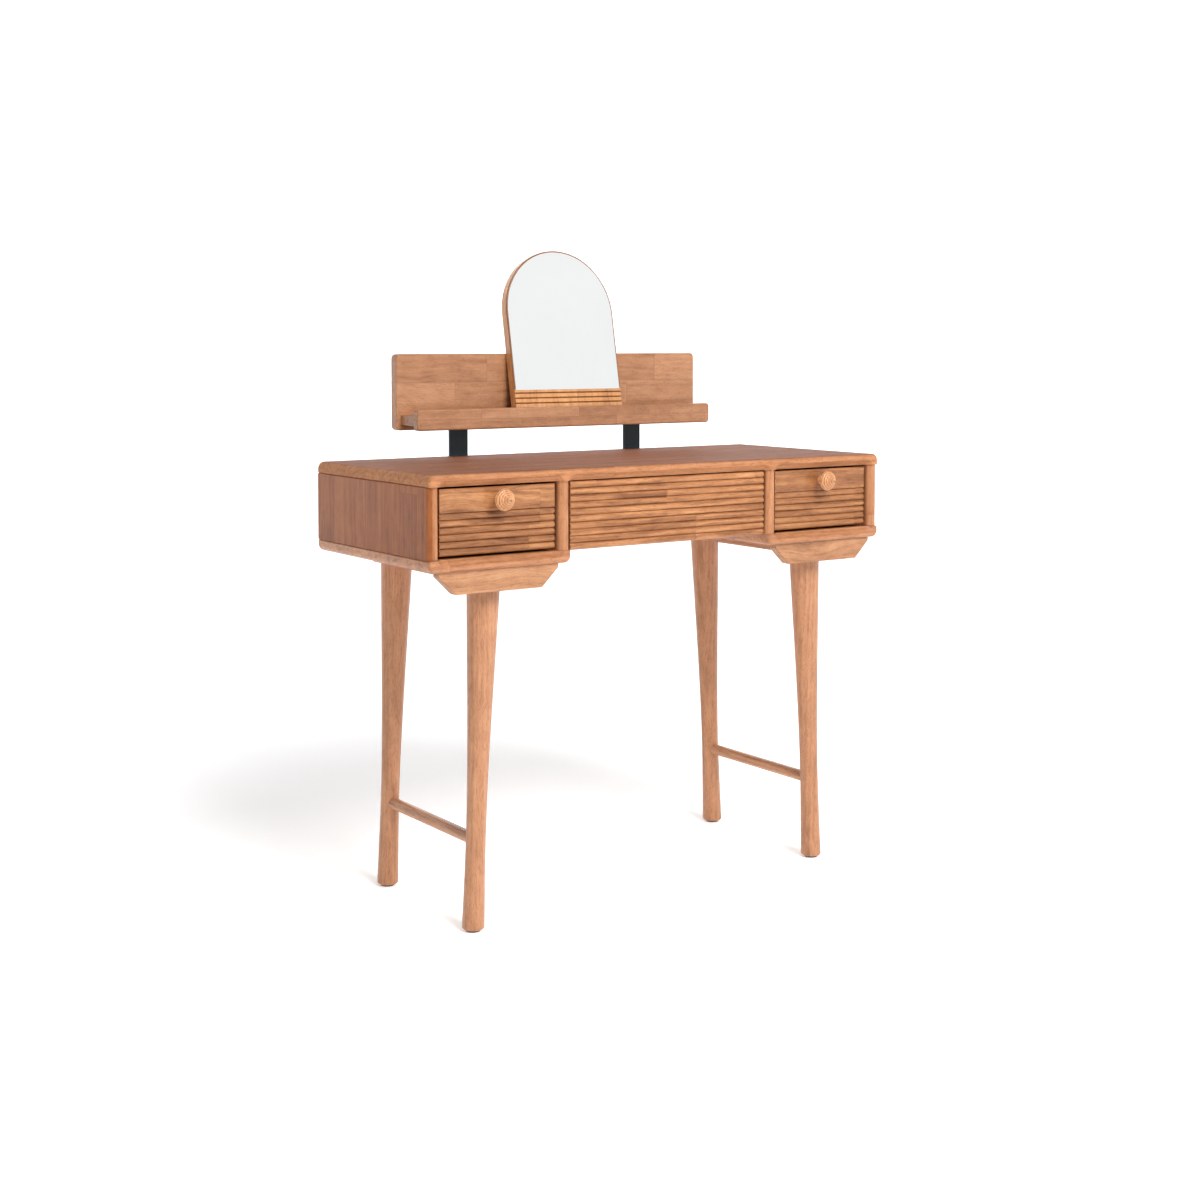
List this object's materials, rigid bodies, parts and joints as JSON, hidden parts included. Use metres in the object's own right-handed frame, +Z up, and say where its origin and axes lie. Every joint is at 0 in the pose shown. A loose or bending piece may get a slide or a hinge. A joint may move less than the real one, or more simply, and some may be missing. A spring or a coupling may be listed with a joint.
{
  "type": "vanity table with mirror",
  "caption": "Warm brown wooden vanity table on splayed turned legs, with reeded drawers, cone knobs, a raised shelf and an arched mirror leaning in its tray.",
  "frame": {"origin": "on the floor, under the middle of the object's bounding box", "axes": "+Z up; +X to the right of someone who sits at the table; -Y towards that person, the way the drawers open"},
  "size_m": [0.95, 0.4336, 1.1262],
  "materials": {
    "stained_wood": "satin",
    "turned_wood": "satin",
    "inner_wood": "matte",
    "beech": "matte",
    "mirror": "polished",
    "dark_steel": "matte",
    "screw_steel": "satin",
    "slide_steel": "satin",
    "nylon": "matte"
  },
  "bodies": {
    "table": {"back_left_leg": "stained_wood", "back_right_leg": "stained_wood", "case_dowels": "beech", "centre_back_panel": "inner_wood", "centre_fixed_slides": "slide_steel", "foot_glides": "nylon", "front_left_leg": "stained_wood", "front_right_leg": "stained_wood", "left_back_panel": "inner_wood", "left_bottom_panel": "stained_wood", "left_divider": "stained_wood", "left_fascia": "stained_wood", "left_fixed_slides": "slide_steel", "left_leg_rail": "stained_wood", "left_shelf_post": "dark_steel", "left_side_panel": "stained_wood", "left_stretcher": "stained_wood", "leg_bolts": "screw_steel", "post_screws": "screw_steel", "rail_screws": "screw_steel", "right_back_panel": "inner_wood", "right_bottom_panel": "stained_wood", "right_divider": "stained_wood", "right_fascia": "stained_wood", "right_fixed_slides": "slide_steel", "right_leg_rail": "stained_wood", "right_shelf_post": "dark_steel", "right_side_panel": "stained_wood", "right_stretcher": "stained_wood", "shelf_back_board": "stained_wood", "shelf_dowels": "beech", "shelf_lip": "stained_wood", "shelf_tray": "stained_wood", "top_panel": "stained_wood"},
    "left_drawer": {"left_drawer_back": "inner_wood", "left_drawer_base": "inner_wood", "left_drawer_front": "stained_wood", "left_drawer_left_wall": "inner_wood", "left_drawer_right_wall": "inner_wood", "left_knob": "turned_wood", "left_knob_screw": "screw_steel", "left_moving_slides": "slide_steel"},
    "centre_drawer": {"centre_drawer_back": "inner_wood", "centre_drawer_base": "inner_wood", "centre_drawer_front": "stained_wood", "centre_drawer_left_wall": "inner_wood", "centre_drawer_right_wall": "inner_wood", "centre_moving_slides": "slide_steel"},
    "right_drawer": {"right_drawer_back": "inner_wood", "right_drawer_base": "inner_wood", "right_drawer_front": "stained_wood", "right_drawer_left_wall": "inner_wood", "right_drawer_right_wall": "inner_wood", "right_knob": "turned_wood", "right_knob_screw": "screw_steel", "right_moving_slides": "slide_steel"},
    "mirror": {"mirror_backing": "stained_wood", "mirror_glass": "mirror"}
  },
  "joints": [
    {"name": "left_drawer_slide", "type": "slide", "parent": "table", "child": "left_drawer", "axis": [0, -1, 0], "range_m": [0, 0.22]},
    {"name": "centre_drawer_slide", "type": "slide", "parent": "table", "child": "centre_drawer", "axis": [0, -1, 0], "range_m": [0, 0.22]},
    {"name": "right_drawer_slide", "type": "slide", "parent": "table", "child": "right_drawer", "axis": [0, -1, 0], "range_m": [0, 0.22]},
    {"name": "mirror_shift", "type": "slide", "parent": "table", "child": "mirror", "axis": [1, 0, 0], "range_m": [-0.2, 0.166]}
  ]
}
